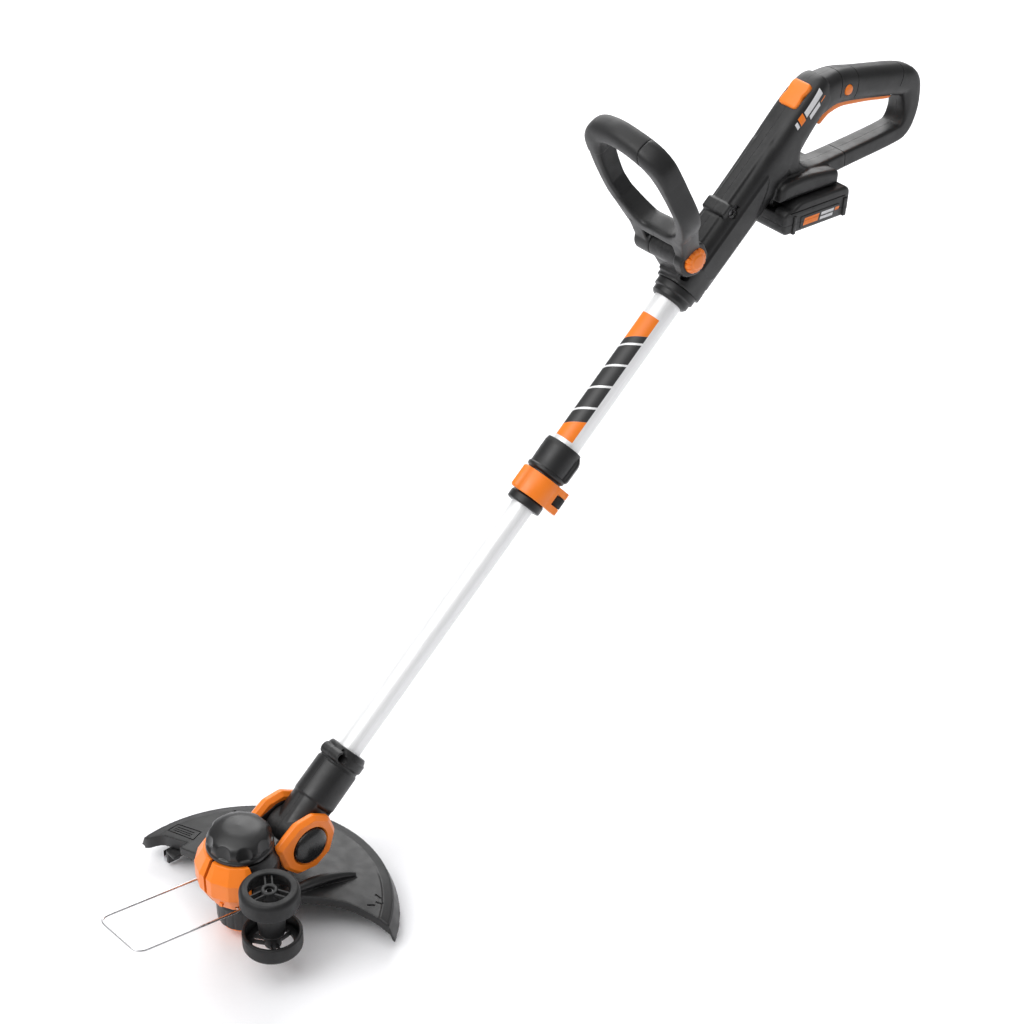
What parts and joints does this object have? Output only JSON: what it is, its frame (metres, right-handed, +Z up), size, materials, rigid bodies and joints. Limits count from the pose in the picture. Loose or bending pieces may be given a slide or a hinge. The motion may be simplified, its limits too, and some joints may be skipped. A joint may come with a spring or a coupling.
{
  "type": "lawn edger",
  "caption": "Cordless lawn edger and line trimmer: rear handle with battery, loop handle, telescopic shaft, tilting motor head with spool, guard, edging wheels and wire guard.",
  "frame": {"origin": "middle of the rear grip, on the plane between the two housing shells", "axes": "+Z up along the motor and spool axis, +Y backwards towards the user, +X to the user's left (the edging wheels' side)"},
  "size_m": [0.2837, 1.084, 0.7094],
  "materials": {
    "black_plastic": "satin moulded",
    "soft_grip": "matt overmould",
    "orange_plastic": "semi-gloss moulded",
    "aluminium_tube": "satin anodised",
    "steel": "bright",
    "tyre": "matt moulded",
    "circuit_board": "matt",
    "cell": "shrink sleeve",
    "copper": "bright",
    "nylon": "natural",
    "line": "extruded"
  },
  "bodies": {
    "rear_handle": {"housing_left_shell": "black_plastic", "housing_right_shell": "black_plastic", "tube_collar": "black_plastic", "upper_tube": "aluminium_tube", "main_switch": "black_plastic", "control_board": "circuit_board", "terminal_block": "copper", "trigger_pin": "steel", "housing_screw_1": "steel", "housing_screw_2": "steel", "clamp_collar": "black_plastic", "clamp_lever_pin": "steel"},
    "feed_button": {"feed_button": "orange_plastic"},
    "lock_off_button": {"lock_off_button": "orange_plastic"},
    "trigger": {"trigger": "orange_plastic", "trigger_spring": "steel"},
    "clamp_lever": {"clamp_lever": "orange_plastic"},
    "loop_handle": {"loop_handle_frame": "black_plastic", "loop_handle_grip": "soft_grip", "loop_handle_bolt": "steel", "loop_handle_button_spring": "steel"},
    "loop_handle_lock_button": {"loop_handle_lock_button": "orange_plastic"},
    "battery": {"battery_lower_case": "black_plastic", "battery_upper_case": "black_plastic", "battery_cells": "cell"},
    "battery_release_button": {"battery_release_button": "orange_plastic"},
    "telescope_bush": {"telescope_bush": "nylon"},
    "lower_shaft": {"lower_tube": "aluminium_tube", "yoke_left_shell": "black_plastic", "yoke_right_shell": "black_plastic"},
    "head": {"motor_housing": "black_plastic", "front_cover_left": "orange_plastic", "front_cover_right": "orange_plastic", "pivot_cover_left": "orange_plastic", "pivot_cover_right": "orange_plastic", "pivot_cap_right": "black_plastic", "tilt_pivot_pin": "steel", "tilt_button_spring": "steel", "motor_cap": "black_plastic", "motor_can": "steel", "upper_bearing": "steel", "lower_bearing": "steel", "wheel_bracket": "black_plastic", "wheel_axle": "steel", "guard": "black_plastic", "guard_screw_1": "steel", "guard_screw_2": "steel", "cutter_bracket": "black_plastic", "cutter_blade": "steel"},
    "tilt_button": {"tilt_button": "black_plastic"},
    "rotor": {"motor_rotor": "copper", "spool_housing": "black_plastic", "spool": "black_plastic", "line_winding": "line", "spool_spring": "steel", "spool_cap": "orange_plastic"},
    "upper_wheel": {"upper_wheel": "tyre"},
    "lower_wheel": {"lower_wheel": "tyre"},
    "wire_guard": {"wire_guard": "steel"}
  },
  "joints": [
    {"name": "telescope_slide", "type": "slide", "parent": "rear_handle", "child": "telescope_bush", "axis": [0, 0.7837, 0.6211], "range_m": [0, 0.23]},
    {"name": "shaft_turn", "type": "hinge", "parent": "telescope_bush", "child": "lower_shaft", "pos_m": [0, -0.39434, -0.23363], "axis": [0, 0.7837, 0.6211], "range_deg": [0, 180]},
    {"name": "head_tilt", "type": "hinge", "parent": "lower_shaft", "child": "head", "pos_m": [0, -0.79873, -0.55414], "axis": [1, 0, 0], "range_deg": [-30, 38]},
    {"name": "tilt_button_press", "type": "slide", "parent": "head", "child": "tilt_button", "axis": [-1, 0, 0], "range_m": [0, 0.003], "stiffness_N_per_m": 500, "springref_m": -0.002},
    {"name": "spool_spin", "type": "hinge", "parent": "head", "child": "rotor", "pos_m": [0, -0.862, -0.597], "axis": [0, 0, 1], "continuous": true},
    {"name": "upper_wheel_spin", "type": "hinge", "parent": "head", "child": "upper_wheel", "pos_m": [0.074, -0.8834, -0.538], "axis": [0, 0, 1], "continuous": true},
    {"name": "lower_wheel_spin", "type": "hinge", "parent": "head", "child": "lower_wheel", "pos_m": [0.074, -0.8834, -0.594], "axis": [0, 0, 1], "continuous": true},
    {"name": "wire_guard_fold", "type": "hinge", "parent": "head", "child": "wire_guard", "pos_m": [0, -0.89, -0.5825], "axis": [-1, 0, 0], "range_deg": [0, 50]},
    {"name": "clamp_lever_open", "type": "hinge", "parent": "rear_handle", "child": "clamp_lever", "pos_m": [0.022, -0.45493, -0.30207], "axis": [0, 0.7837, 0.6211], "range_deg": [0, 110]},
    {"name": "loop_handle_tilt", "type": "hinge", "parent": "rear_handle", "child": "loop_handle", "pos_m": [0, -0.28402, -0.08673], "axis": [1, 0, 0], "range_deg": [-35, 50]},
    {"name": "loop_lock_press", "type": "slide", "parent": "loop_handle", "child": "loop_handle_lock_button", "axis": [-1, 0, 0], "range_m": [0, 0.003], "stiffness_N_per_m": 500, "springref_m": -0.002},
    {"name": "trigger_pull", "type": "hinge", "parent": "rear_handle", "child": "trigger", "pos_m": [0, 0.022, -0.017], "axis": [-1, 0, 0], "range_deg": [0, 4], "stiffness_Nm_per_rad": 0.4, "springref_deg": -6.88},
    {"name": "lock_off_press", "type": "slide", "parent": "rear_handle", "child": "lock_off_button", "axis": [-1, 0, 0], "range_m": [0, 0.003], "stiffness_N_per_m": 500, "springref_m": -0.002},
    {"name": "feed_press", "type": "slide", "parent": "rear_handle", "child": "feed_button", "axis": [0, 0.6211, -0.7837], "range_m": [0, 0.003], "stiffness_N_per_m": 500, "springref_m": -0.002},
    {"name": "battery_slide", "type": "slide", "parent": "rear_handle", "child": "battery", "axis": [0, 0.9949, -0.1011], "range_m": [0, 0.095]},
    {"name": "battery_release_press", "type": "slide", "parent": "battery", "child": "battery_release_button", "axis": [0, -0.1011, -0.9949], "range_m": [0, 0.0022], "stiffness_N_per_m": 500, "springref_m": -0.002}
  ]
}
